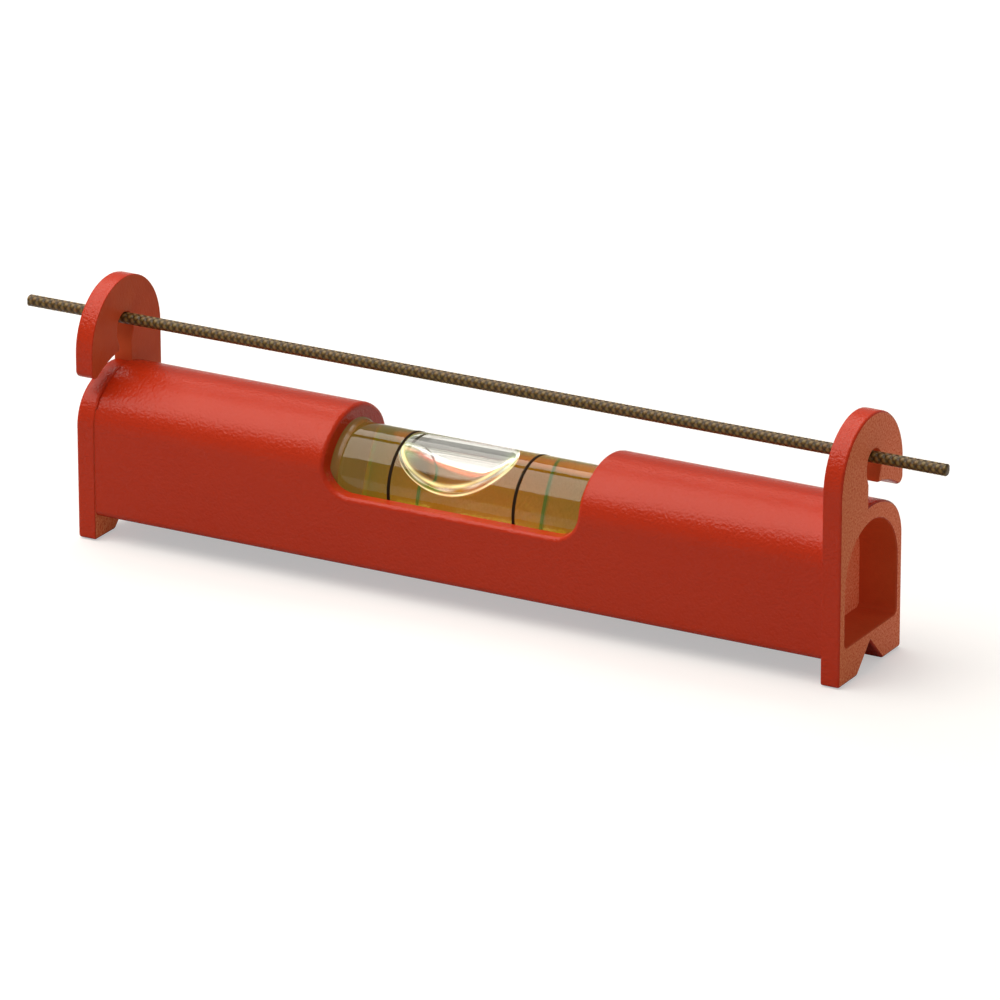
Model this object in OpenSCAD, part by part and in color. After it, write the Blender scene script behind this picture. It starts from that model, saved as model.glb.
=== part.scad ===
// Line level: a moulded plastic housing with a hook at each end that hangs on a taut builder's line,
// and a tubular spirit vial seated in a window in its back.
// X runs along the level, Y to its back and Z up. The origin is the middle of the feet's underside.

/* [Housing] */
// Length over the two end plates
level_l = 80; // [64:1:120]
// Width of the end plates
plate_w = 12.3; // [11:0.1:15]
// Thickness of each end plate
plate_t = 1.9; // [1.4:0.1:3]
// Step from the end plates in to the body
body_step = 0.1; // [0.05:0.01:0.4]
// Height of the body's underside over the feet
foot_h = 2.3; // [1:0.1:3.5]
// Radius along the body's lower edges
edge_r = 0.7; // [0.3:0.1:1.2]
// Height at which the plates' sides start to round over
shoulder_z = 10.95; // [10:0.05:13]
// Radius of each shoulder
shoulder_r = 4.2; // [3:0.1:5]
// Rise of the body's flat crown over its shoulders
body_rise = 0.75; // [0.4:0.05:1.5]
// Rise of the end plates' crown, which the line passes over on its way into the hook
plate_rise = 0.55; // [0.4:0.05:1.5]
// Width of the V groove between the feet
groove_w = 5.1; // [3:0.1:6]
// Depth of the V groove
groove_h = 2.5; // [1:0.1:3]

/* [Hooks] */
// Height of the line's axis when the level hangs on it
line_z = 20.2; // [19.8:0.1:24]
// Plastic over the line seat
hook_wall = 3.5; // [2:0.1:5]
// Gap over the shoulder through which the line is fed in
entry_gap = 1.7; // [1.4:0.1:2.2]
// Width of the line seat
seat_w = 2.8; // [2.2:0.1:3.4]
// Width of the neck that keeps the line in its seat
neck_w = 2; // [1.4:0.1:2.1]
// Shift of the seat and the neck toward the hook's tip
slot_shift = 0.2; // [0:0.05:0.3]
// Length of the taper from the seat down to the neck
neck_taper = 1.0; // [0.5:0.1:1.4]
// Radius on the outer corner of the hook's tip
tip_r = 0.7; // [0.3:0.1:1.2]

/* [End pockets] */
// Width of the pocket in each end
pocket_w = 10.3; // [8:0.1:10.5]
// Depth of the pocket from the end face
pocket_depth = 3.8; // [3:0.1:8]
// Height of the pocket's floor over the feet
pocket_floor_z = 3.5; // [3.3:0.1:5]
// Height of the centre of the pocket's arch
pocket_arch_z = 8.95; // [8:0.05:9.2]
// Radius in the pocket's lower corners
pocket_corner_r = 0.5; // [0.3:0.1:1]

/* [Cores in the underside] */
// Wall of the housing round the cores
wall = 1.2; // [0.9:0.05:1.6]
// Web between a core and an end pocket, and between a core and the window
web = 1.5; // [1:0.1:3]

/* [Window] */
// Length of the window along the level
window_l = 26.6; // [25:0.1:32]
// Place of the window's middle along the level
window_x = -0.15; // [-1:0.05:1]
// Height of the window's lower lip over the feet
window_z = 9.1; // [8:0.1:9.4]
// Radius in the window's lower corners
window_r = 2.6; // [1:0.1:3.5]

/* [Vial] */
// Outside diameter of the vial
vial_d = 9; // [8.6:0.1:9.2]
// Height of the vial's axis over the feet
vial_z = 9.6; // [9.5:0.05:10]
// Gap between the vial and its seat
seat_gap = 0.12; // [0.1:0.01:0.2]
// Gap between each end of the vial and the window
end_gap = 0.1; // [0.05:0.05:0.3]
// Wall of the vial at its middle
vial_wall = 1; // [0.8:0.05:1.3]
// Thickness of the vial's moulded end
vial_end = 0.6; // [0.4:0.1:2]
// Thickness of the plug that closes the other end
plug_t = 0.9; // [0.8:0.1:2.5]
// Radius of the plug's seat
plug_r = 3.6; // [3.5:0.05:3.7]
// Lengthwise radius of the barrel-shaped bore, which sets how far the bubble runs for a slope
barrel_r = 310; // [250:10:600]
// Bevel on the vial's outer edges
vial_bevel = 0.25; // [0.1:0.05:0.4]

/* [Bubble and marks] */
// Length of the bubble
bubble_l = 13.3; // [9:0.1:14]
// Depth of the bubble
bubble_h = 3.8; // [2:0.1:4]
// Place of the bubble along the level
bubble_x = -2.3; // [-3:0.1:3]
// Gap between the bubble's solid and the bore above it
bubble_gap = 0.28; // [0.26:0.01:0.35]
// Gap between the bubble's solid and the spirit round it
film = 0.05; // [0.03:0.01:0.1]
// Place of the middle between the two black rings
ring_x = -0.8; // [-1.5:0.1:1.5]
// Distance between the two black rings
ring_spacing = 13.1; // [12.4:0.1:14]
// Width of each printed ring
ring_w = 0.45; // [0.3:0.05:0.6]
// Thickness of the printed ink
ink_t = 0.04; // [0.03:0.01:0.06]
// Width of the adhesive bead round each end of the vial
bead_w = 0.55; // [0.3:0.05:1]
// Height of the bead where it meets the end of the window
bead_h = 0.45; // [0.2:0.05:0.5]

/* [Line] */
// Diameter of the braided line
line_d = 1.15; // [0.8:0.05:1.25]
// Gap between the line and the top of its seat
line_gap = 0.08; // [0.05:0.01:0.15]

/* [Hidden] */
fine = 96;
barrel_steps = 8;
past = 1;
// Overlap between two cuts that meet, so that no skin stays between them
lap = 0.01;

// The arched outline is two shoulder arcs with a flatter crown arc that meets them without a corner
shoulder_y = plate_w / 2 - shoulder_r;
function crown_r(rise) = (shoulder_y * shoulder_y + pow(shoulder_r + rise, 2)
                          - shoulder_r * shoulder_r) / (2 * rise);
function crown_z(rise) = shoulder_z + shoulder_r + rise - crown_r(rise);

body_l = level_l - 2 * plate_t;
body_half = plate_w / 2 - body_step;
core_half = body_half - wall;

hook_top = line_z + line_d / 2 + hook_wall;
hook_z = hook_top - plate_w / 2;
seat_top = line_z + line_d / 2 + line_gap;
seat_z = seat_top - seat_w / 2;

pocket_end = level_l / 2 - pocket_depth;

vial_r = vial_d / 2;
seat_r = vial_r + seat_gap;
vial_l = window_l - 2 * end_gap;
bore_r = vial_r - vial_wall;
vial_start = window_x - vial_l / 2;
vial_stop = window_x + vial_l / 2;
bore_start = vial_start + vial_end;
bore_end = vial_stop - plug_t;

// A ball of this radius cuts a bubble of the given length and depth out of the bore
bubble_r = (bubble_l * bubble_l / 4 + bubble_h * bubble_h) / (2 * bubble_h);
bubble_z = vial_z + bore_r - bubble_h + bubble_r;

// Route of the line, which passes straight through both hooks
LINE_ROUTE = [[-48.7, 0, 20.2], [-45, 0, 20.2], [-42, 0, 20.2], [-39, 0, 20.2], [-34, 0, 20.2],
              [-28, 0, 20.2], [-22, 0, 20.2], [-16, 0, 20.2], [-10, 0, 20.2], [-5, 0, 20.2],
              [0, 0, 20.2], [5, 0, 20.2], [10, 0, 20.2], [16, 0, 20.2], [22, 0, 20.2],
              [28, 0, 20.2], [34, 0, 20.2], [39, 0, 20.2], [42, 0, 20.2], [45, 0, 20.2],
              [47.3, 0, 20.2]];
LINE_SIDES = 8;

// Turns an outline drawn in Y and Z into a solid from one X to another
module along_x(start, end) {
    translate([start, 0, 0]) rotate([90, 0, 90]) linear_extrude(height = end - start) children();
}

// The arched outline, drawn in by inset, from the height bottom up to a crown of the given rise
module arch_outline(rise, inset, bottom) {
    half = plate_w / 2 - inset;
    side = shoulder_r - inset;
    top = crown_r(rise) - inset;
    centre_z = crown_z(rise);
    lift = shoulder_z - centre_z;
    lean = sqrt(shoulder_y * shoulder_y + lift * lift);
    touch = [top * shoulder_y / lean, centre_z + top * lift / lean];
    translate([-half, bottom]) square([2 * half, shoulder_z - bottom]);
    for (way = [-1, 1]) translate([way * shoulder_y, shoulder_z]) circle(r = side, $fn = fine);
    polygon([[-shoulder_y, shoulder_z], [shoulder_y, shoulder_z], touch, [-touch[0], touch[1]]]);
    intersection() {
        translate([0, centre_z]) circle(r = top, $fn = fine);
        polygon([[0, centre_z], [2 * touch[0], 2 * touch[1] - centre_z], [0, centre_z + 4 * top],
                 [-2 * touch[0], 2 * touch[1] - centre_z]]);
    }
}

module body_outline() {
    difference() {
        arch_outline(body_rise, body_step, foot_h);
        for (way = [-1, 1]) scale([way, 1]) translate([body_half, foot_h]) difference() {
            translate([-edge_r, -past]) square([edge_r + past, edge_r + past]);
            translate([-edge_r, edge_r]) circle(r = edge_r, $fn = fine);
        }
    }
}

// The hook's seat, its taper and its neck, open to the entry gap below
module slot_outline() {
    taper_z = seat_z - seat_w / 4;
    neck_z = taper_z - neck_taper;
    translate([slot_shift, 0]) {
        translate([0, seat_z]) circle(r = seat_w / 2, $fn = fine);
        polygon([[-seat_w / 2, seat_z], [-seat_w / 2, taper_z], [-neck_w / 2, neck_z],
                 [-neck_w / 2, shoulder_z], [neck_w / 2, shoulder_z], [neck_w / 2, neck_z],
                 [seat_w / 2, taper_z], [seat_w / 2, seat_z]]);
    }
}

// The gap over the shoulder, from the stem out past the tip
module entry_outline() {
    intersection() {
        arch_outline(plate_rise, -entry_gap, shoulder_z - past);
        translate([slot_shift - neck_w / 2, shoulder_z - past])
            square([plate_w + past, plate_w + past]);
    }
}

// What the round on the tip's outer corner takes away
module tip_round() {
    round_y = plate_w / 2 - tip_r;
    reach = crown_r(plate_rise) + entry_gap + tip_r;
    round_z = crown_z(plate_rise) + sqrt(reach * reach - round_y * round_y);
    difference() {
        translate([round_y - tip_r / 3, round_z - tip_r - past]) square([tip_r * 2, tip_r + past]);
        translate([round_y, round_z]) circle(r = tip_r, $fn = fine);
    }
}

// One end plate with its feet and its hook, drawn with the hook open to the back
module plate_outline() {
    difference() {
        union() {
            arch_outline(plate_rise, 0, 0);
            difference() {
                union() {
                    translate([0, hook_z]) circle(r = plate_w / 2, $fn = fine);
                    translate([-plate_w / 2, shoulder_z])
                        square([plate_w, hook_z - shoulder_z]);
                }
                entry_outline();
                tip_round();
            }
        }
        difference() {
            slot_outline();
            arch_outline(plate_rise, 0, 0);
        }
        polygon([[-groove_w / 2 - groove_w / groove_h / 2 * past, -past], [0, groove_h],
                 [groove_w / 2 + groove_w / groove_h / 2 * past, -past]]);
    }
}

module pocket_outline() {
    half = pocket_w / 2;
    corner_y = half - pocket_corner_r;
    translate([0, pocket_arch_z]) circle(r = half, $fn = fine);
    translate([-half, pocket_floor_z + pocket_corner_r])
        square([pocket_w, pocket_arch_z - pocket_floor_z - pocket_corner_r]);
    translate([-corner_y, pocket_floor_z]) square([2 * corner_y, pocket_corner_r * 2]);
    for (way = [-1, 1]) translate([way * corner_y, pocket_floor_z + pocket_corner_r])
        circle(r = pocket_corner_r, $fn = fine);
}

// One core in the underside, which keeps the moulding's walls thin
module core(start, end) {
    along_x(start, end) intersection() {
        arch_outline(body_rise, body_step + wall, foot_h - past);
        translate([-core_half, foot_h - past]) square([2 * core_half, plate_w * 2]);
    }
}

// The window seen from the front, with round lower corners, cut through the whole width
module window_cut() {
    half = window_l / 2;
    height = hook_top - window_z;
    translate([window_x, plate_w, 0]) rotate([90, 0, 0]) linear_extrude(height = 2 * plate_w) {
        translate([-half, window_z + window_r]) square([window_l, height - window_r]);
        translate([-half + window_r, window_z]) square([window_l - 2 * window_r, height]);
        for (way = [-1, 1]) translate([way * (half - window_r), window_z + window_r])
            circle(r = window_r, $fn = fine);
    }
}

module vial_seat() {
    along_x(window_x - window_l / 2, window_x + window_l / 2) {
        translate([0, vial_z]) circle(r = seat_r, $fn = fine);
        translate([-seat_r, vial_z]) square([2 * seat_r, plate_w]);
    }
}

module housing() color([0.78, 0.16, 0.11]) difference() {
    union() {
        along_x(-body_l / 2, body_l / 2) body_outline();
        for (turn = [0, 180]) rotate([0, 0, turn])
            along_x(body_l / 2, level_l / 2) plate_outline();
    }
    window_cut();
    vial_seat();
    for (turn = [0, 180]) rotate([0, 0, turn])
        along_x(pocket_end, level_l / 2 + past) pocket_outline();
    core(window_x + window_l / 2 + web, pocket_end - web);
    core(web - pocket_end, window_x - window_l / 2 - web);
}

// The bore's radius at one place along X
function bore_at(x) = bore_r - barrel_r + sqrt(barrel_r * barrel_r - (x - window_x) * (x - window_x));

// The barrel shape of the bore, between two places along X
module barrel(start, end) {
    translate([0, 0, vial_z]) rotate([0, 90, 0]) rotate_extrude($fn = fine)
        polygon(concat([[0, start]],
                       [for (k = [0 : barrel_steps]) let (x = start + (end - start) * k / barrel_steps)
                        [bore_at(x), x]],
                       [[0, end]]));
}

// A disc or a tube round the vial's axis
module round_x(r, start, end) {
    translate([start, 0, vial_z]) rotate([0, 90, 0]) cylinder(h = end - start, r = r, $fn = fine);
}

module bevelled_vial() {
    translate([0, 0, vial_z]) rotate([0, 90, 0]) rotate_extrude($fn = fine)
        polygon([[0, vial_start], [vial_r - vial_bevel, vial_start],
                 [vial_r, vial_start + vial_bevel], [vial_r, vial_stop - vial_bevel],
                 [vial_r - vial_bevel, vial_stop], [0, vial_stop]]);
}

module vial_body() color([0.92, 0.94, 0.9, 0.35]) difference() {
    bevelled_vial();
    barrel(bore_start, bore_end);
    round_x(plug_r, bore_end - lap, vial_stop + past);
}

module vial_plug() color([0.85, 0.88, 0.84, 0.5]) round_x(plug_r, bore_end, vial_stop - end_gap);

module bubble_ball(grow) {
    translate([bubble_x, 0, bubble_z]) sphere(r = bubble_r + grow, $fn = fine);
}

module spirit() color([0.62, 0.55, 0.12, 0.6]) difference() {
    barrel(bore_start, bore_end);
    bubble_ball(film);
}

module air_bubble() color([0.95, 1, 0.9, 0.4]) intersection() {
    round_x(bore_r - bubble_gap, bore_start, bore_end);
    bubble_ball(0);
}

// A printed ring centred on one place along the vial
module ring(middle) {
    difference() {
        round_x(vial_r + ink_t, middle - ring_w / 2, middle + ring_w / 2);
        round_x(vial_r, middle - ring_w, middle + ring_w);
    }
}

module level_ring_left() color([0.08, 0.07, 0.06]) ring(ring_x - ring_spacing / 2);
module level_ring_right() color([0.08, 0.07, 0.06]) ring(ring_x + ring_spacing / 2);

// A bead of set adhesive between one end of the vial and the end of the window, at the side way
module adhesive(way) color([0.8, 0.65, 0.35]) intersection() {
    translate([window_x, 0, vial_z]) rotate([0, 90 * way, 0]) rotate_extrude($fn = fine)
        polygon([[vial_r, window_l / 2 - bead_w], [vial_r + bead_h, window_l / 2],
                 [vial_r, window_l / 2]]);
    window_cut();
}
module adhesive_left() adhesive(-1);
module adhesive_right() adhesive(1);

// The line: a tube swept along its route, with a ring of corners at each of its points
module line() color([0.3, 0.26, 0.16]) polyhedron(
    points = [for (at = LINE_ROUTE, i = [0 : LINE_SIDES - 1])
        let (turn = 360 * i / LINE_SIDES)
        [at[0], at[1] + line_d / 2 * cos(turn), at[2] + line_d / 2 * sin(turn)]],
    faces = concat(
        [[for (i = [0 : LINE_SIDES - 1]) i]],
        [for (k = [0 : len(LINE_ROUTE) - 2], i = [0 : LINE_SIDES - 1])
            let (a = k * LINE_SIDES, b = a + LINE_SIDES, j = (i + 1) % LINE_SIDES)
            each [[a + i, b + i, b + j], [a + i, b + j, a + j]]],
        [[for (i = [LINE_SIDES - 1 : -1 : 0]) (len(LINE_ROUTE) - 1) * LINE_SIDES + i]]));

housing();
vial_body();
vial_plug();
spirit();
air_bubble();
level_ring_left();
level_ring_right();
adhesive_left();
adhesive_right();
line();
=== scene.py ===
import math

import bmesh
import bpy
import numpy as np
from mathutils import Matrix, Vector, noise


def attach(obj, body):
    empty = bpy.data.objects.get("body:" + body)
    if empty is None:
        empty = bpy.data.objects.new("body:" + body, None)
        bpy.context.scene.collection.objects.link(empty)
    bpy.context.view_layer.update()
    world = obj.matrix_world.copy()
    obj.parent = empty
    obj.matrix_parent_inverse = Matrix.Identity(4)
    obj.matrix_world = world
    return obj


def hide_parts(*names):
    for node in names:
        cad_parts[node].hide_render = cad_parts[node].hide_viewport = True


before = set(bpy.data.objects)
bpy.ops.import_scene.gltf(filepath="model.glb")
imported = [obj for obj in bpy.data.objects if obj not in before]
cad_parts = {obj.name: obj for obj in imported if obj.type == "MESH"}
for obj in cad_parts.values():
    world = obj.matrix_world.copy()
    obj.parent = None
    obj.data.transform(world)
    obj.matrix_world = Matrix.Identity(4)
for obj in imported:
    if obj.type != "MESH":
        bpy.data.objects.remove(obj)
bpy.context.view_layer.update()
MM = 0.001

# Camera
# A long lens about 0.75 m away, turned 29 degrees to the right end and raised 20 degrees.
# It looks a little past the level's middle, as the photograph does.
CAMERA_TURN, CAMERA_RISE, CAMERA_ROLL = math.radians(29.15), math.radians(20.35), math.radians(-0.06)
CAMERA_AWAY, FOCAL_PX = 752.5, 8160.0
PHOTO_PX, AIM_PX = 1000, (482.2, 590.3)
SENSOR_WIDE = 36

back = Vector((math.sin(CAMERA_TURN) * math.cos(CAMERA_RISE),
               -math.cos(CAMERA_TURN) * math.cos(CAMERA_RISE),
               math.sin(CAMERA_RISE)))
side = Vector((math.cos(CAMERA_TURN), math.sin(CAMERA_TURN), 0))
rise = back.cross(side)
side, rise = (math.cos(CAMERA_ROLL) * side + math.sin(CAMERA_ROLL) * rise,
              math.cos(CAMERA_ROLL) * rise - math.sin(CAMERA_ROLL) * side)
aim_across = (AIM_PX[0] - PHOTO_PX / 2) / FOCAL_PX * CAMERA_AWAY
aim_down = (AIM_PX[1] - PHOTO_PX / 2) / FOCAL_PX * CAMERA_AWAY
stand = (back * CAMERA_AWAY - side * aim_across + rise * aim_down) * MM
bpy.ops.object.camera_add()
camera = bpy.context.object
camera.matrix_world = Matrix(((side.x, rise.x, back.x, stand.x),
                              (side.y, rise.y, back.y, stand.y),
                              (side.z, rise.z, back.z, stand.z),
                              (0, 0, 0, 1)))
camera.data.sensor_width = SENSOR_WIDE
camera.data.lens = FOCAL_PX * SENSOR_WIDE / PHOTO_PX
camera.data.clip_start = 0.05
bpy.context.scene.camera = camera

# Line
# A tightly braided polyester line 1.15 mm thick: four strands run round it each way, one over one.
# It is cut square at both ends and lies taut through the two hooks.
LINE_THICK, BRAID_DEPTH = 1.15, 0.12
STRANDS_EACH_WAY, STRAND_STEP, STRAND_FILL, CROSSING_LIFT = 4, 0.7, 0.98, 0.32
LINE_RINGS_EVERY, LINE_SIDES, CUT_END_SHADE = 0.055, 36, 0.85
LINE_ROUTE = [(-48.7, 0, 20.2), (-45, 0, 20.2), (-42, 0, 20.2), (-39, 0, 20.2), (-34, 0, 20.2),
              (-28, 0, 20.2), (-22, 0, 20.2), (-16, 0, 20.2), (-10, 0, 20.2), (-5, 0, 20.2),
              (0, 0, 20.2), (5, 0, 20.2), (10, 0, 20.2), (16, 0, 20.2), (22, 0, 20.2),
              (28, 0, 20.2), (34, 0, 20.2), (39, 0, 20.2), (42, 0, 20.2), (45, 0, 20.2),
              (47.3, 0, 20.2)]


def strand_arch(off):
    """The round top of a strand, from 1 over its middle to 0 at its sides."""
    return np.sqrt(np.maximum(0, 1 - (2 * off / STRAND_FILL) ** 2))


def braid_height(turn, along):
    """How high the strand on top stands at this place, from 0 in a pit to 1 on a crown."""
    right = STRANDS_EACH_WAY * turn / (2 * math.pi) - along / STRAND_STEP
    left = STRANDS_EACH_WAY * turn / (2 * math.pi) + along / STRAND_STEP
    lift_right = CROSSING_LIFT * np.cos(math.pi * (left - np.round(right)))
    lift_left = CROSSING_LIFT * np.cos(math.pi * (right - np.round(left)))
    over_right = strand_arch(right - np.round(right)) + lift_right
    over_left = strand_arch(left - np.round(left)) - lift_left
    return np.clip(np.maximum(over_right, over_left) / (1 + CROSSING_LIFT), 0, 1)


def add_piece(name, mesh):
    """A new object with this mesh, which is the active one and alone selected."""
    bpy.ops.object.select_all(action="DESELECT")
    made = bpy.data.objects.new(name, mesh)
    bpy.context.scene.collection.objects.link(made)
    bpy.context.view_layer.objects.active = made
    made.select_set(True)
    return made


line_start, line_end, line_high = LINE_ROUTE[0][0], LINE_ROUTE[-1][0], LINE_ROUTE[0][2]
ring_count = int((line_end - line_start) / LINE_RINGS_EVERY)
along, turn = np.meshgrid(np.linspace(line_start, line_end, ring_count),
                          np.arange(LINE_SIDES) * 2 * math.pi / LINE_SIDES, indexing="ij")
height = braid_height(turn, along)
radius = LINE_THICK / 2 - BRAID_DEPTH * (1 - height)
line_skin = np.stack([along, radius * np.cos(turn), line_high + radius * np.sin(turn)], axis=-1)
line_caps = [(line_start, 0, line_high), (line_end, 0, line_high)]
line_points = np.vstack([line_skin.reshape(-1, 3), line_caps]) * MM
start_cap, end_cap = ring_count * LINE_SIDES, ring_count * LINE_SIDES + 1
line_faces = []
for first in range(0, (ring_count - 1) * LINE_SIDES, LINE_SIDES):
    for i in range(LINE_SIDES):
        j = (i + 1) % LINE_SIDES
        line_faces.append((first + i, first + j, first + LINE_SIDES + j, first + LINE_SIDES + i))
last = (ring_count - 1) * LINE_SIDES
line_faces += [(i, start_cap, (i + 1) % LINE_SIDES) for i in range(LINE_SIDES)]
line_faces += [(last + (i + 1) % LINE_SIDES, end_cap, last + i) for i in range(LINE_SIDES)]
line_mesh = bpy.data.meshes.new("braided_line")
line_mesh.from_pydata(line_points.tolist(), [], line_faces)
crowns = line_mesh.attributes.new("crown", "FLOAT", "POINT")
crowns.data.foreach_set("value", np.append(height.ravel(), (CUT_END_SHADE, CUT_END_SHADE)).astype(np.float32))
line_mesh.shade_smooth()
braided_line = add_piece("braided_line", line_mesh)


def srgb(code):
    """The linear colour of an sRGB hex code."""
    parts = [int(code[i:i + 2], 16) / 255 for i in (1, 3, 5)]
    return tuple(p / 12.92 if p <= 0.04045 else ((p + 0.055) / 1.055) ** 2.4 for p in parts) + (1.0,)


def add_node(tree, kind, inputs=None, **settings):
    """Adds one node, sets its settings, and sets or links its inputs."""
    made = tree.nodes.new(kind)
    for name, value in settings.items():
        setattr(made, name, value)
    for name, value in (inputs or {}).items():
        if isinstance(value, bpy.types.NodeSocket):
            tree.links.new(value, made.inputs[name])
        else:
            made.inputs[name].default_value = value
    return made


def new_material(name):
    """An empty material with its output node."""
    made = bpy.data.materials.new(name)
    made.use_nodes = True
    made.node_tree.nodes.clear()
    made.node_tree.nodes.new("ShaderNodeOutputMaterial")
    return made, made.node_tree


def show(tree, socket):
    """Sends a shader to the material's surface."""
    tree.links.new(socket, tree.nodes["Material Output"].inputs["Surface"])


def grain(tree, size, detail=2.0, roughness=0.5):
    """A noise with grains of about this size in mm, fixed to the piece."""
    place = add_node(tree, "ShaderNodeTexCoord")
    return add_node(tree, "ShaderNodeTexNoise",
                    {"Vector": place.outputs["Object"], "Scale": 1 / (size * MM),
                     "Detail": detail, "Roughness": roughness})


def blend(tree, factor, first, second, how="MIX"):
    """The colour between two colours, or the one that another way of mixing them gives."""
    mixed = add_node(tree, "ShaderNodeMix", {"Factor": factor, "A": first, "B": second},
                     data_type="RGBA", blend_type=how)
    return mixed.outputs["Result"]


def ramp(tree, factor, stops):
    """The colour at this place on a ramp of two or more stops, each a position and a hex code."""
    made = add_node(tree, "ShaderNodeValToRGB", {"Fac": factor})
    ends = made.color_ramp.elements[0], made.color_ramp.elements[1]
    for end, (position, code) in zip(ends, (stops[0], stops[-1])):
        end.position, end.color = position, srgb(code)
    for position, code in stops[1:-1]:
        made.color_ramp.elements.new(position).color = srgb(code)
    return made.outputs["Color"]


def relief(tree, pattern, depth, strength=1.0):
    """The bumpy normal that a pattern gives, with its depth in mm."""
    bump = add_node(tree, "ShaderNodeBump",
                    {"Height": pattern.outputs["Fac"], "Strength": strength, "Distance": depth * MM})
    return bump.outputs["Normal"]


# Braided polyester: olive strands, with painted shade that darkens the pits between them to dark olive, and
# crowns painted pale under the glints of their gloss
braided_polyester, tree = new_material("braided_polyester")
crown = add_node(tree, "ShaderNodeAttribute", attribute_name="crown")
# Colour by height: painted shade in the pits, painted highlight on the crowns
shaded_strand_colour = ramp(tree, crown.outputs["Fac"], ((0.3, "#261A09"), (0.75, "#543F1C"), (0.98, "#897040")))
fibres = grain(tree, 0.25)
fibre_shade = blend(tree, 0.35, shaded_strand_colour, fibres.outputs["Color"], "SOFT_LIGHT")
strand = add_node(tree, "ShaderNodeBsdfPrincipled",
                  {"Base Color": fibre_shade, "Roughness": 0.32, "IOR": 1.4,
                   "Normal": relief(tree, fibres, 0.02, 0.5)})
show(tree, strand.outputs["BSDF"])
line_mesh.materials.append(braided_polyester)
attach(braided_line, "line")
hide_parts("line")

# Housing
# One injection moulding in red ABS: an arched body between two end plates that carry the hooks and feet.
# The mould was spark-eroded, so the plastic has a fine leathery skin, coarser and duller on the end faces.
# Along the gap of the left hook the mould has left a torn ridge of flash on the plate's rim.
EDGE_ROUND, INNER_RIM_ROUND, POCKET_RIM_ROUND = 0.28, 0.09, 0.16
SLOT_ROUND, WINDOW_ROUND, FOOT_ROUND = 0.1, 0.45, 0.2
ROUND_STEPS, EDGE_FROM_ANGLE, SMOOTH_TO_ANGLE = 4, 35, 40
# Places that tell the edges and faces apart: out from the middle, across to the hooks' open side, and high
PLATE_OUT, PLATE_IN, FOOT_TOP = 40.0, 38.1, 2.3
POCKET_DEEP, POCKET_FLOOR, POCKET_ARCH_Z, POCKET_HALF, POCKET_CORNER = 3.8, 3.5, 8.95, 5.15, 0.55
POCKET_TOP = POCKET_ARCH_Z + POCKET_HALF
SLOT_SHIFT, SLOT_HALF, SLOT_TOP, GAP_LOW, GAP_HIGH = 0.2, 1.45, 21.0, 15.9, 17.3
WINDOW_X, WINDOW_HALF, WINDOW_LOW, CRADLE_RIM, CRADLE_TOP = -0.15, 13.3, 9.1, 4.6, 11.75
CROWN_HALF, CROWN_FROM, CROWN_TOP = 5.0, 13.0, 15.95
TIP_ACROSS, TIP_LOW = 5.2, 15.88
# The ridge of flash runs along the left plate's rim in y, sunk a little into the plastic
FLASH_FROM, FLASH_TO, FLASH_X, RAY_FROM = -5.6, -1.2, -38.15, 12.0
FLASH_HIGH, FLASH_WIDE, FLASH_SUNK, FLASH_STATIONS = 0.5, 0.4, 0.3, 30
# A face whose normal has at least this much of X in it faces along the level
ALONG_X = 0.9

housing_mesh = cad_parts["housing"].data.copy()
housing_mesh.name = "red_housing"
red_housing = add_piece("red_housing", housing_mesh)
bpy.ops.mesh.customdata_custom_splitnormals_clear()
bpy.ops.object.mode_set(mode="EDIT")
bpy.ops.mesh.select_all(action="SELECT")
bpy.ops.mesh.remove_doubles(threshold=0.001 * MM)
bpy.ops.mesh.dissolve_limited(angle_limit=math.radians(0.3))
bpy.ops.object.mode_set(mode="OBJECT")


def edge_round(a, b):
    """The radius that the moulding has along the outer edge from a to b, in mm."""
    middle = (a + b) / 2
    out, across, high = abs(middle.x), math.copysign(1, middle.x) * middle.y, middle.z
    if abs(middle.x - WINDOW_X) < WINDOW_HALF + 0.3 and high > WINDOW_LOW - 0.2:
        on_cradle = abs(abs(across) - CRADLE_RIM) < 0.06 and high < CRADLE_TOP
        return SLOT_ROUND if on_cradle else WINDOW_ROUND
    if out < PLATE_IN - 0.05:
        return FOOT_ROUND if high < FOOT_TOP + 0.3 else 0
    slot_low = GAP_HIGH if across > SLOT_SHIFT else GAP_LOW
    if abs(across - SLOT_SHIFT) < SLOT_HALF and slot_low < high < SLOT_TOP:
        return SLOT_ROUND
    if out < PLATE_IN + 0.05:
        if abs(across) < CROWN_HALF and CROWN_FROM < high < CROWN_TOP:
            return 0
        return INNER_RIM_ROUND if high > FOOT_TOP + 0.3 else FOOT_ROUND if high < FOOT_TOP - 0.1 else 0
    by_pocket = abs(across) < POCKET_HALF + 0.05 and POCKET_FLOOR - 0.1 < high < POCKET_TOP + 0.8
    on_arch = abs(math.hypot(across, max(high - POCKET_ARCH_Z, 0)) - POCKET_HALF) < 0.12
    on_floor = abs(high - POCKET_FLOOR) < 0.05
    on_corner = abs(across) > POCKET_HALF - POCKET_CORNER and high < POCKET_FLOOR + POCKET_CORNER
    return POCKET_RIM_ROUND if by_pocket and (on_arch or on_floor or on_corner) else EDGE_ROUND


def on_hook_tip(place):
    """Whether a point is low on a hook's tip, where its rounding starts and two points nearly coincide."""
    beside = abs(abs(place.y) - TIP_ACROSS)
    return abs(place.x) > PLATE_IN - 0.1 and beside < 0.1 and abs(place.z - TIP_LOW) < 0.1


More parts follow.
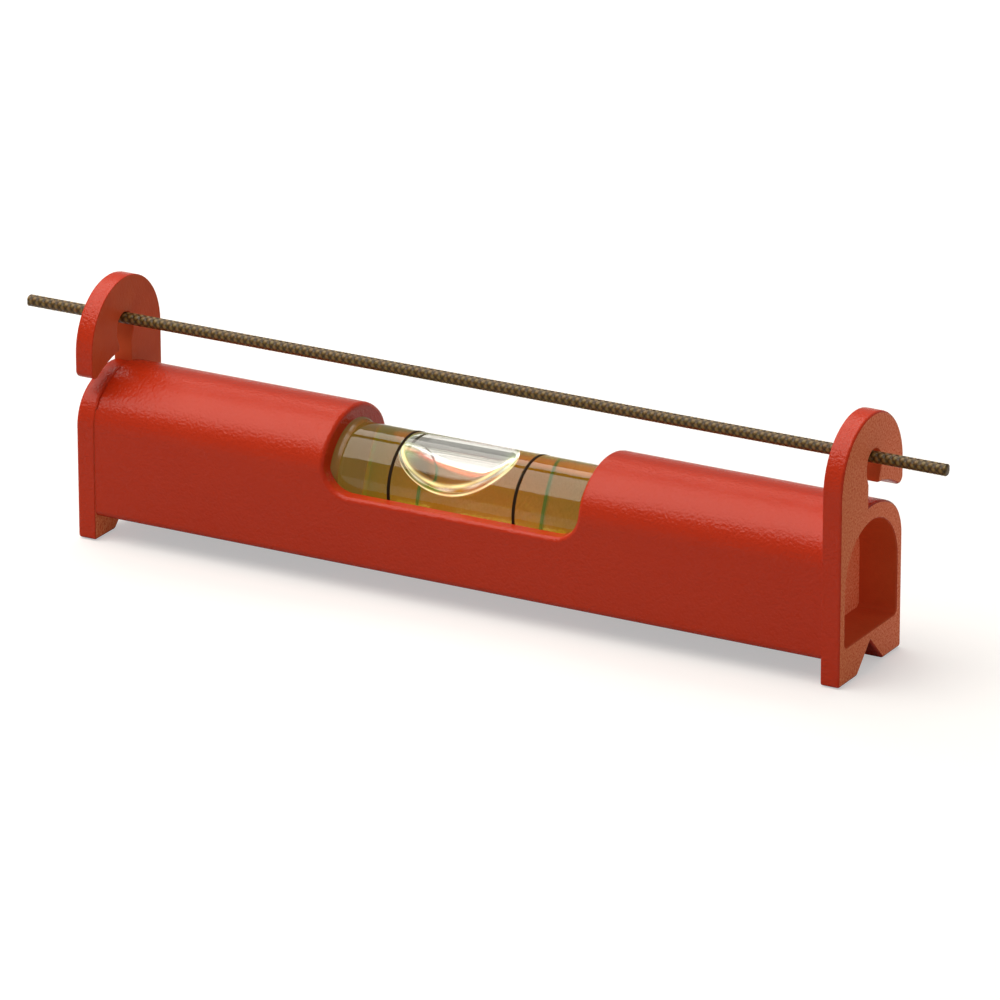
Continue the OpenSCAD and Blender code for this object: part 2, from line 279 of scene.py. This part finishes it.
shaped = bmesh.new()
shaped.from_mesh(housing_mesh)
tips = [v for v in shaped.verts if on_hook_tip(v.co / MM)]
bmesh.ops.remove_doubles(shaped, verts=tips, dist=0.05 * MM)
weight = shaped.edges.layers.float.new("bevel_weight_edge")
for edge in shaped.edges:
    outer = len(edge.link_faces) == 2 and edge.is_convex
    if outer and edge.calc_face_angle(0) > math.radians(EDGE_FROM_ANGLE):
        a, b = (v.co / MM for v in edge.verts)
        edge[weight] = edge_round(a, b)
shaped.to_mesh(housing_mesh)
shaped.free()
# Each edge's weight is its radius in mm, so the bevel's own width is 1 mm
rounding = red_housing.modifiers.new("rounding", "BEVEL")
rounding.limit_method = "WEIGHT"
rounding.width = 1.0 * MM
rounding.segments = ROUND_STEPS
rounding.use_clamp_overlap = False
rounding.miter_outer = "MITER_SHARP"
rounding.face_strength_mode = "FSTR_ALL"
bpy.ops.object.modifier_apply(modifier="rounding")
bpy.ops.object.shade_smooth_by_angle(angle=math.radians(SMOOTH_TO_ANGLE))
evened = red_housing.modifiers.new("evened", "WEIGHTED_NORMAL")
evened.mode = "CORNER_ANGLE"
evened.use_face_influence = True
evened.keep_sharp = True
bpy.ops.object.modifier_apply(modifier="evened")


def rim_height(y):
    """The height of the left plate's rim at this y, where a ray leaves the plastic for good."""
    upward, small_step = Vector((0, 0, 1)), Vector((0, 0, 0.05)) * MM
    place, facing = red_housing.ray_cast(Vector((FLASH_X - 0.05, y, RAY_FROM)) * MM, upward)[1:3]
    if facing.z < 0:
        place = red_housing.ray_cast(place + small_step, upward)[1]
    return place.z / MM


torn = []
for k in range(FLASH_STATIONS + 1):
    y = FLASH_FROM + (FLASH_TO - FLASH_FROM) * k / FLASH_STATIONS
    rim = rim_height(y)
    ragged = 0.65 + 0.8 * noise.noise(Vector((2.1 * y, 0.3, 0.7)))
    high = FLASH_HIGH * ragged * math.sin(math.pi * (k + 0.5) / (FLASH_STATIONS + 1)) ** 0.4
    middle = FLASH_X + 0.1 * noise.noise(Vector((1.7 * y, 5, 2)))
    torn += [(middle - FLASH_WIDE / 2, y, rim - FLASH_SUNK), (middle - FLASH_WIDE / 5, y, rim + high),
             (middle + FLASH_WIDE / 4, y, rim + 0.8 * high), (middle + FLASH_WIDE / 2, y, rim - FLASH_SUNK)]
torn_faces = [(3, 2, 1, 0), tuple(4 * FLASH_STATIONS + i for i in range(4))]
for first in range(0, 4 * FLASH_STATIONS, 4):
    torn_faces += [(first + i, first + (i + 1) % 4, first + (i + 1) % 4 + 4, first + i + 4) for i in range(4)]
flash_mesh = bpy.data.meshes.new("mould_flash")
flash_mesh.from_pydata([Vector(p) * MM for p in torn], [], torn_faces)
add_piece("mould_flash", flash_mesh)
bpy.ops.object.mode_set(mode="EDIT")
bpy.ops.mesh.select_all(action="SELECT")
bpy.ops.mesh.normals_make_consistent(inside=False)
bpy.ops.object.mode_set(mode="OBJECT")
bpy.ops.object.shade_smooth()
bpy.context.view_layer.objects.active = red_housing
red_housing.select_set(True)
bpy.ops.object.join()

# Red ABS: deep red and half glossy, with a leathery skin of small dimples that breaks up the highlights
red_abs, tree = new_material("spark_eroded_red_abs")
skin = grain(tree, 0.26)
abs_colour = blend(tree, grain(tree, 9).outputs["Fac"], srgb("#C43113"), srgb("#CC3715"))
gloss = add_node(tree, "ShaderNodeMapRange", {"Value": skin.outputs["Fac"], "To Min": 0.15, "To Max": 0.26})
abs_shader = add_node(tree, "ShaderNodeBsdfPrincipled",
                      {"Base Color": abs_colour, "Roughness": gloss.outputs["Result"], "IOR": 1.33,
                       "Normal": relief(tree, skin, 0.07)})
show(tree, abs_shader.outputs["BSDF"])

# The end faces: the same ABS from a coarsely eroded mould face, with a bright sandy grain, and painted light
# that makes them browner to the front and paler towards the back. A faint painted glow lifts them a little,
# in place of light the plastic passes on.
sandy_abs, tree = new_material("coarse_eroded_red_abs")
grit = grain(tree, 0.2, roughness=0.6)
grit_colour = ramp(tree, grit.outputs["Fac"], ((0.32, "#D85434"), (0.7, "#FFB89C")))
place = add_node(tree, "ShaderNodeTexCoord")
lie = add_node(tree, "ShaderNodeSeparateXYZ", {"Vector": place.outputs["Object"]})
# Painted light: the end faces are browner to the front and paler towards the back
painted_light_toward_back = add_node(tree, "ShaderNodeMapRange",
                    {"Value": lie.outputs["Y"], "From Min": -5 * MM, "From Max": 4 * MM})
painted_light_tone = blend(tree, painted_light_toward_back.outputs["Result"], srgb("#E6D6C0"), srgb("#FFEAE6"))
# The emission is a painted glow
sandy_shader = add_node(tree, "ShaderNodeBsdfPrincipled",
                        {"Base Color": blend(tree, 1.0, grit_colour, painted_light_tone, "MULTIPLY"),
                         "Roughness": 0.6, "IOR": 1.25, "Normal": relief(tree, grit, 0.05, 0.8),
                         "Emission Color": srgb("#FF8149"), "Emission Strength": 0.1})
show(tree, sandy_shader.outputs["BSDF"])

# The pockets, slots and inner faces of the plates: a smooth, browner copy of the red ABS that paints the
# shade in them, with a faint painted glow in place of the light that the plastic passes on
shaded_copy_abs, tree = new_material("smooth_shaded_abs")
# Painted shade: a browner red for the pockets, slots and inner faces, with a faint painted glow
shaded_copy_colour = blend(tree, grain(tree, 2.5).outputs["Fac"], srgb("#C44C27"), srgb("#D65E34"))
shaded_copy_shader = add_node(tree, "ShaderNodeBsdfPrincipled",
                         {"Base Color": shaded_copy_colour, "Roughness": 0.5, "IOR": 1.25,
                          "Normal": relief(tree, grain(tree, 0.26), 0.04, 0.7),
                          "Emission Color": srgb("#CE5A30"), "Emission Strength": 0.05})
show(tree, shaded_copy_shader.outputs["BSDF"])


def plastic_at(middle, faces_end):
    """Which of the three skins a face of the housing has, by its middle in mm; one is the painted shade of
    the pockets, slots and inner faces.
    """
    out, across, high = abs(middle.x), middle.y, middle.z
    off_slot = abs(math.copysign(1, middle.x) * across - SLOT_SHIFT)
    in_slot = out > PLATE_IN - 0.05 and off_slot < SLOT_HALF + 0.05 and CROWN_TOP < high < SLOT_TOP
    off_arch = math.hypot(across, max(high - POCKET_ARCH_Z, 0))
    above_floor = out > PLATE_OUT - POCKET_DEEP - 0.2 and high > POCKET_FLOOR - 0.1
    in_pocket = above_floor and off_arch < POCKET_HALF + 0.05
    if faces_end and (out > PLATE_OUT - 0.03 or in_pocket):
        return sandy_abs
    inner_face = faces_end and abs(out - PLATE_IN) < 0.03
    return shaded_copy_abs if in_pocket or in_slot or inner_face else red_abs


housing_mesh.materials.clear()
plastics = [red_abs, sandy_abs, shaded_copy_abs]
for plastic in plastics:
    housing_mesh.materials.append(plastic)
for face in housing_mesh.polygons:
    face.material_index = plastics.index(plastic_at(face.center / MM, abs(face.normal.x) > ALONG_X))
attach(red_housing, "level")
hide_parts("housing")

# Vial
# A clear acrylic tube, turned round an axis 9.6 mm above the feet, closed by a plug at the right end.
# The spirit fills its bore to the wall, so the vial is drawn as a full rod with the spirit as a body in it.
VIAL_AXIS, VIAL_R, VIAL_START, VIAL_STOP, VIAL_BEVEL = 9.6, 4.5, -13.35, 13.05, 0.25
BORE_R, BORE_START, BORE_STOP, BARREL_R, BARREL_MIDDLE = 3.5, -12.75, 12.15, 310.0, -0.15
PLUG_R, PLUG_STOP, PLUG_FILM = 3.6, 12.95, 0.03
TURNED_SIDES = 160
ACRYLIC_INDEX, SPIRIT_INDEX = 1.49, 1.36


def turned_piece(name, outline):
    """Turns an outline of (x, radius) points once round the vial's axis, and closes it."""
    edges = [(i, i + 1) for i in range(len(outline) - 1)]
    if outline[0][1] > 0:
        edges.append((len(outline) - 1, 0))
    mesh = bpy.data.meshes.new(name)
    mesh.from_pydata([(x * MM, 0, (VIAL_AXIS + r) * MM) for x, r in outline], edges, [])
    made = add_piece(name, mesh)
    bpy.ops.object.mode_set(mode="EDIT")
    bpy.ops.mesh.select_all(action="SELECT")
    bpy.ops.mesh.spin(steps=TURNED_SIDES, angle=2 * math.pi, center=(0, 0, VIAL_AXIS * MM), axis=(1, 0, 0))
    bpy.ops.mesh.select_all(action="SELECT")
    bpy.ops.mesh.remove_doubles(threshold=0.002 * MM)
    bpy.ops.mesh.normals_make_consistent(inside=False)
    bpy.ops.object.mode_set(mode="OBJECT")
    bpy.ops.object.shade_smooth_by_angle(angle=math.radians(30))
    return made


def calc(tree, how, first, second=0.0):
    """The result of one step of arithmetic."""
    return add_node(tree, "ShaderNodeMath", {0: first, 1: second}, operation=how).outputs["Value"]


def lit_glass(tree, glass, tint):
    """Glass that bends what is seen through it, and lets the lamps' light straight through in its tint."""
    path = add_node(tree, "ShaderNodeLightPath")
    straight = calc(tree, "MAXIMUM", path.outputs["Is Shadow Ray"], path.outputs["Is Diffuse Ray"])
    clear = add_node(tree, "ShaderNodeBsdfTransparent", {"Color": tint})
    both = add_node(tree, "ShaderNodeMixShader", {0: straight, 1: glass, 2: clear.outputs["BSDF"]})
    show(tree, both.outputs["Shader"])


def clear_material(name, code, index):
    """A clear material with a polished surface, which bends light by this index."""
    made, tree = new_material(name)
    shader = add_node(tree, "ShaderNodeBsdfPrincipled",
                      {"Base Color": srgb(code), "Roughness": 0.0, "IOR": index, "Transmission Weight": 1.0})
    lit_glass(tree, shader.outputs["BSDF"], srgb(code))
    return made


def smeared_material(name, dark, light, roughness, painted_glow, strength):
    """A smear of uneven thickness behind clear acrylic, with a faint painted glow in place of the daylight
    that reaches it through the vial.
    """
    made, tree = new_material(name)
    smear = grain(tree, 1.5, detail=1.0)
    shader = add_node(tree, "ShaderNodeBsdfPrincipled",
                      {"Base Color": blend(tree, smear.outputs["Fac"], srgb(dark), srgb(light)),
                       "Roughness": roughness, "Emission Color": srgb(painted_glow), "Emission Strength": strength})
    show(tree, shader.outputs["BSDF"])
    return made


vial_glass = turned_piece("vial_glass", [
    (VIAL_START, 0), (VIAL_START, VIAL_R - VIAL_BEVEL), (VIAL_START + VIAL_BEVEL, VIAL_R),
    (BORE_START, VIAL_R), (VIAL_STOP - VIAL_BEVEL, VIAL_R), (VIAL_STOP, VIAL_R - VIAL_BEVEL), (VIAL_STOP, 0)])
# Cast acrylic: clear and flame-polished, a little greenish where it is thick
vial_glass.data.materials.append(clear_material("polished_acrylic", "#FAFCF7", ACRYLIC_INDEX))
# The vial's flat ends: bedded in golden-brown adhesive, with a painted glow
vial_glass.data.materials.append(
    smeared_material("bedded_vial_end", "#80602A", "#8E6E32", 0.6, "#7C6022", 0.55))
# The last of the left end's wall: seated against the red plastic under the bead of adhesive, with a painted
# glow
vial_glass.data.materials.append(
    smeared_material("seated_vial_wall", "#82301A", "#92381E", 0.5, "#8A301A", 0.6))
for face in vial_glass.data.polygons:
    past_bore = 2 if face.center.x < BORE_START * MM else 0
    face.material_index = 1 if abs(face.normal.x) > ALONG_X else past_bore
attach(vial_glass, "level")
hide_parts("vial_body")

vial_stopper = turned_piece("vial_stopper", [
    (BORE_STOP + PLUG_FILM, 0), (BORE_STOP + PLUG_FILM, PLUG_R), (PLUG_STOP, PLUG_R), (PLUG_STOP, 0)])
# The cement line round the plug: nearly the acrylic's own index, so only a faint edge shows
vial_stopper.data.materials.append(clear_material("cemented_acrylic", "#E9EDDF", 1.02))
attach(vial_stopper, "level")
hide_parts("vial_plug")

# Spirit
# The dyed alcohol that fills the barrel-shaped bore. Its yellow-green dye glows a little in daylight.
# Its surface meets the acrylic, so its index is the alcohol's over the acrylic's.
BARREL_STEPS = 40
BUBBLE_X, CLEAR_HALF, DYED_HALF = -2.3, 6.7, 7.3
DYED_BELOW, CLEAR_ABOVE, DYE_GLOW = 10.2, 10.7, 0.15


def bore_radius(x):
    """The radius of the barrel-shaped bore at x, in mm."""
    return BORE_R - BARREL_R + np.sqrt(BARREL_R ** 2 - (x - BARREL_MIDDLE) ** 2)


barrel = [(x, bore_radius(x)) for x in np.linspace(BORE_START, BORE_STOP, BARREL_STEPS + 1)]
dyed_spirit = turned_piece("dyed_spirit", [(BORE_START, 0)] + barrel + [(BORE_STOP, 0)])
# Spirit dye: what is seen through the liquid below and beside the bubble is deep yellow, and glows a little
spirit_dye, tree = new_material("yellow_spirit_dye")
place = add_node(tree, "ShaderNodeTexCoord")
lie = add_node(tree, "ShaderNodeSeparateXYZ", {"Vector": place.outputs["Object"]})
below = add_node(tree, "ShaderNodeMapRange",
                 {"Value": lie.outputs["Z"], "From Min": CLEAR_ABOVE * MM, "From Max": DYED_BELOW * MM})
from_bubble = calc(tree, "ABSOLUTE", calc(tree, "SUBTRACT", lie.outputs["X"], BUBBLE_X * MM))
beside = add_node(tree, "ShaderNodeMapRange",
                  {"Value": from_bubble, "From Min": CLEAR_HALF * MM, "From Max": DYED_HALF * MM})
coloured = calc(tree, "MAXIMUM", below.outputs["Result"], beside.outputs["Result"])
surface = add_node(tree, "ShaderNodeNewGeometry")
far_wall = calc(tree, "MULTIPLY", coloured, surface.outputs["Backfacing"])
dye = blend(tree, far_wall, srgb("#FFFFFF"), srgb("#C6BC26"))
spirit_shader = add_node(tree, "ShaderNodeBsdfPrincipled",
                         {"Base Color": dye, "Roughness": 0.0, "IOR": SPIRIT_INDEX / ACRYLIC_INDEX,
                          "Transmission Weight": 1.0, "Emission Color": srgb("#B4CC3C"),
                          "Emission Strength": calc(tree, "MULTIPLY", far_wall, DYE_GLOW)})
lit_glass(tree, spirit_shader.outputs["BSDF"], dye)
dyed_spirit.data.materials.append(spirit_dye)
# The spirit's flat ends: clear, because the brown ends of the vial show their own colour through them
dyed_spirit.data.materials.append(
    clear_material("clear_spirit_end", "#FFFFFF", SPIRIT_INDEX / ACRYLIC_INDEX))
for face in dyed_spirit.data.polygons:
    face.material_index = 1 if abs(face.normal.x) > ALONG_X else 0
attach(dyed_spirit, "level")
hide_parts("spirit")

# Air bubble
# The air left in the vial. It lies along the top of the bore, with a bowl-shaped underside and soft edges.
# Its surface is drawn inside the spirit, so its index is the air's over the spirit's.
BUBBLE_L, BUBBLE_H, BUBBLE_EDGE, BUBBLE_FILM = 13.3, 3.8, 1.2, 0.04
BOWL_R = (BUBBLE_L ** 2 / 4 + BUBBLE_H ** 2) / (2 * BUBBLE_H)
BOWL_Z = VIAL_AXIS + BORE_R - BUBBLE_H + BOWL_R
# The surface is found by halving the way out from a point inside, in directions spread for a long, low body
BUBBLE_CORE = np.array((BUBBLE_X, 0, VIAL_AXIS + BORE_R - BUBBLE_H * 0.42))
POINTS_SPREAD, LONGEST_REACH, HALVINGS = (4.5, 2.6, 1.2), 12.0, 40
# Bands of gathered daylight: the angle round the curved edge, the half width in degrees, and the colour
FRONT_BANDS = ((27, 7, (1.15, 1.02, 0.62)), (70, 7, (1.05, 0.95, 0.45)))
REAR_BANDS = ((54, 8, (1.0, 1.0, 0.95)), (29, 11, (0.48, 0.11, 0.07)))
TIP_GLOW, TIP_REACH, FRONT_FADE = (0.34, 0.5, 0.18), 1.1, 0.8
# Painted shade in grey streaks along the top: how dark, the angle round the vial, and the half width in
# degrees
PAINTED_SHADE_DARK, STREAK_ANGLE, STREAK_HALF = 0.7, 58, 30


def bubble_walls(points):
    """How far each point lies outside the bubble's bowl, and outside the bore's wall."""
    bowl = np.linalg.norm(points - (BUBBLE_X, 0, BOWL_Z), axis=1) - BOWL_R
    from_axis = np.hypot(points[:, 1], points[:, 2] - VIAL_AXIS)
    return bowl, from_axis - (bore_radius(points[:, 0]) - BUBBLE_FILM)


def outside_bubble(points):
    """How far each point lies outside the bubble, whose bowl and bore walls meet in a round edge."""
    bowl, wall = bubble_walls(points)
    a, b = bowl + BUBBLE_EDGE, wall + BUBBLE_EDGE
    return np.minimum(np.maximum(a, b), 0) + np.hypot(np.maximum(a, 0), np.maximum(b, 0)) - BUBBLE_EDGE


def bell(values, middle, half):
    """1 where the values are at the middle, falling off smoothly to both sides."""
    return np.exp(-((values - middle) / half) ** 2)


bpy.ops.object.select_all(action="DESELECT")
bpy.ops.mesh.primitive_ico_sphere_add(subdivisions=7, radius=1)
vial_bubble = bpy.context.object
vial_bubble.name = vial_bubble.data.name = "vial_bubble"
count = len(vial_bubble.data.vertices)
toward = np.empty(count * 3, np.float32)
vial_bubble.data.vertices.foreach_get("co", toward)
toward = toward.reshape(-1, 3).astype(float) * POINTS_SPREAD
toward /= np.linalg.norm(toward, axis=1)[:, None]
near, far = np.zeros(count), np.full(count, LONGEST_REACH)
for _ in range(HALVINGS):
    half = (near + far) / 2
    out = outside_bubble(BUBBLE_CORE + toward * half[:, None]) > 0
    far, near = np.where(out, half, far), np.where(out, near, half)
skin_points = BUBBLE_CORE + toward * near[:, None]
vial_bubble.data.vertices.foreach_set("co", (skin_points * MM).astype(np.float32).ravel())
vial_bubble.data.update()

along, across, high = skin_points.T
bowl, wall = bubble_walls(skin_points)
around = np.degrees(np.arctan2(wall + BUBBLE_EDGE, bowl + BUBBLE_EDGE))
on_edge = (bowl > -BUBBLE_EDGE) & (wall > -BUBBLE_EDGE)
# The front bands fade towards the bubble's two tips, and wax and wane a little along it
tip = bell(np.abs(along - BUBBLE_X), BUBBLE_L / 2, TIP_REACH)
front = np.clip(0.5 - across / FRONT_FADE, 0, 1) * (1 - 0.6 * tip) * (0.8 + 0.2 * np.cos(2.1 * along + 1))
gathered = np.outer(tip, TIP_GLOW)
for share, bands in ((front, FRONT_BANDS), (1 - front, REAR_BANDS)):
    for angle, half_width, colour in bands:
        gathered += np.outer(on_edge * share * bell(around, angle, half_width), colour)
daylight = vial_bubble.data.attributes.new("daylight", "FLOAT_COLOR", "POINT")
daylight.data.foreach_set("color", np.hstack([gathered, np.ones((count, 1))]).astype(np.float32).ravel())
turn = np.degrees(np.arctan2(high - VIAL_AXIS, across))
# Painted shade: grey streaks along the bubble's top
painted_shade_streaks = PAINTED_SHADE_DARK * np.exp(-((turn - STREAK_ANGLE) / STREAK_HALF) ** 4) * (1 + 0.25 * np.cos(0.7 * turn))
painted_shade_clearness = vial_bubble.data.attributes.new("painted_shade_clearness", "FLOAT", "POINT")
painted_shade_clearness.data.foreach_set("value", (1 - painted_shade_streaks).astype(np.float32))
vial_bubble.data.shade_smooth()
# Air: clear, with bright cream rims before and a white band behind, where the curved edge gathers the
# daylight, and with painted shade in grey streaks along its top
trapped_air, tree = new_material("trapped_air")
rim_light = add_node(tree, "ShaderNodeAttribute", attribute_name="daylight")
painted_shade_attribute = add_node(tree, "ShaderNodeAttribute", attribute_name="painted_shade_clearness")
air_shader = add_node(tree, "ShaderNodeBsdfPrincipled",
                      {"Base Color": painted_shade_attribute.outputs["Fac"], "Roughness": 0.0, "IOR": 1 / SPIRIT_INDEX,
                       "Transmission Weight": 1.0,
                       "Emission Color": rim_light.outputs["Color"], "Emission Strength": 1.0})
lit_glass(tree, air_shader.outputs["BSDF"], srgb("#FFFFFF"))
vial_bubble.data.materials.append(trapped_air)
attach(vial_bubble, "bubble")
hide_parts("air_bubble")

# Level rings
# Two black rings printed round the vial, 13.1 mm apart, between which the bubble reads level.
# Their far halves show through the yellow spirit as thin green lines.
RING_MIDDLE, RING_APART, RING_WIDE = -0.8, 13.1, 0.34
RING_INK, RING_LIFT, RING_SLOPE = 0.04, 0.004, 0.04
# Printing ink: brownish black and dull, with a fine uneven grain
ring_ink, tree = new_material("black_printing_ink")
ink_colour = blend(tree, grain(tree, 0.12, detail=1.0).outputs["Fac"], srgb("#1C0F05"), srgb("#33200F"))
ink_shader = add_node(tree, "ShaderNodeBsdfPrincipled",
                      {"Base Color": ink_colour, "Roughness": 0.8, "IOR": 1.25})
show(tree, ink_shader.outputs["BSDF"])
for name, way in (("left", -1), ("right", 1)):
    middle = RING_MIDDLE + way * RING_APART / 2
    low, high = middle - RING_WIDE / 2, middle + RING_WIDE / 2
    printed = turned_piece("printed_ring_" + name, [
        (low, VIAL_R + RING_LIFT), (low + RING_SLOPE, VIAL_R + RING_INK),
        (high - RING_SLOPE, VIAL_R + RING_INK), (high, VIAL_R + RING_LIFT)])
    printed.data.materials.append(ring_ink)
    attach(printed, "level")
    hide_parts("level_ring_" + name)

# Adhesive
# A bead of clear adhesive round each end of the vial fixes it in the window.
# It was run in wet, so its face is a hollow fillet, and it has set golden.
BEAD_WIDE, BEAD_HIGH, FILLET_STEP = 0.72, 0.35, 10
# Set adhesive: golden brown and glossy, with a few slow ripples and a faint painted glow
set_resin, tree = new_material("golden_set_adhesive")
ripple = grain(tree, 1.2, detail=1.0)
resin_shader = add_node(tree, "ShaderNodeBsdfPrincipled",
                        {"Base Color": srgb("#86602A"), "Roughness": 0.2, "IOR": 1.45,
                         "Normal": relief(tree, ripple, 0.1, 0.3),
                         "Emission Color": srgb("#A8782E"), "Emission Strength": 0.12})
lit_glass(tree, resin_shader.outputs["BSDF"], srgb("#D8B46C"))
for name, way in (("left", 1), ("right", -1)):
    wall = WINDOW_X - way * WINDOW_HALF
    fillet = [(wall + way * BEAD_WIDE * (1 - math.sin(t)), VIAL_R + BEAD_HIGH * (1 - math.cos(t)))
              for t in (math.radians(d) for d in range(0, 91, FILLET_STEP))]
    bead = turned_piece("adhesive_bead_" + name, fillet + [(wall, VIAL_R)])
    bead.data.materials.append(set_resin)
    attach(bead, "level")
    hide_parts("adhesive_" + name)

# Studio
# A white table under one overhead bank of lights in two panels, with a plain pale room round it.
# Sizes and places are in metres here.
TABLE_SIZE, TABLE_DOWN = 6, 0.0001
PANEL_LEFT, PANEL_RIGHT, PANEL_HIGH, PANEL_COLOUR = -0.70, 0.05, 0.62, (1.0, 0.94, 0.86)
TABLE_WHITE, TABLE_LIFT, TABLE_BOUNCE = (0.62, 0.62, 0.62, 1), 0.43, (0.4, 0.36, 0.28, 1)
ROOM_COLOUR, ROOM_LIGHT, WHITE = (1.0, 0.96, 0.9, 1), 0.31, (1, 1, 1, 1)

bpy.ops.mesh.primitive_plane_add(size=TABLE_SIZE, location=(0, 0, -TABLE_DOWN))
table = bpy.context.object
table.name = "table"
# White table: nearly burnt out where it is seen, and a dim warm grey in the light that it throws back
table_white, tree = new_material("white_table")
path = add_node(tree, "ShaderNodeLightPath")
soft_bounce = add_node(tree, "ShaderNodeBsdfDiffuse", {"Color": TABLE_BOUNCE})
white_diffuse = add_node(tree, "ShaderNodeBsdfDiffuse", {"Color": TABLE_WHITE})
looked_at = calc(tree, "MAXIMUM", path.outputs["Is Camera Ray"], path.outputs["Is Transmission Ray"])
white_lift = add_node(tree, "ShaderNodeEmission",
                      {"Color": WHITE, "Strength": calc(tree, "MULTIPLY", looked_at, TABLE_LIFT)})
lifted = add_node(tree, "ShaderNodeAddShader",
                  {0: white_diffuse.outputs["BSDF"], 1: white_lift.outputs["Emission"]})
in_view = calc(tree, "MAXIMUM", looked_at, path.outputs["Is Glossy Ray"])
seen = add_node(tree, "ShaderNodeMixShader",
                {0: in_view, 1: soft_bounce.outputs["BSDF"], 2: lifted.outputs["Shader"]})
show(tree, seen.outputs["Shader"])
table.data.materials.append(table_white)


def light_panel(name, front, rear, strength):
    """A flat panel of light that faces down, from its front edge to its rear one, by brightness per area."""
    middle = (PANEL_LEFT + PANEL_RIGHT) / 2, (front + rear) / 2, PANEL_HIGH
    bpy.ops.object.light_add(type="AREA", location=middle)
    lamp = bpy.context.object
    lamp.name = name
    lamp.data.shape = "RECTANGLE"
    lamp.data.size, lamp.data.size_y = PANEL_RIGHT - PANEL_LEFT, rear - front
    lamp.data.energy = strength * math.pi * lamp.data.size * lamp.data.size_y
    lamp.data.color = PANEL_COLOUR


light_panel("front_panel", -0.60, 0.122, 3.05)
light_panel("rear_panel", 0.186, 0.52, 2.8)

room = bpy.data.worlds.new("pale_room")
bpy.context.scene.world = room
room.use_nodes = True
tree = room.node_tree
tree.nodes.clear()
path = add_node(tree, "ShaderNodeLightPath")
room_light = add_node(tree, "ShaderNodeBackground", {"Color": ROOM_COLOUR, "Strength": ROOM_LIGHT})
room_seen = add_node(tree, "ShaderNodeBackground", {"Color": WHITE, "Strength": 1.0})
room_mix = add_node(tree, "ShaderNodeMixShader",
                    {0: path.outputs["Is Camera Ray"], 1: room_light.outputs["Background"],
                     2: room_seen.outputs["Background"]})
add_node(tree, "ShaderNodeOutputWorld", {"Surface": room_mix.outputs["Shader"]})

bpy.context.scene.view_settings.view_transform = "Standard"
bpy.context.view_layer.update()
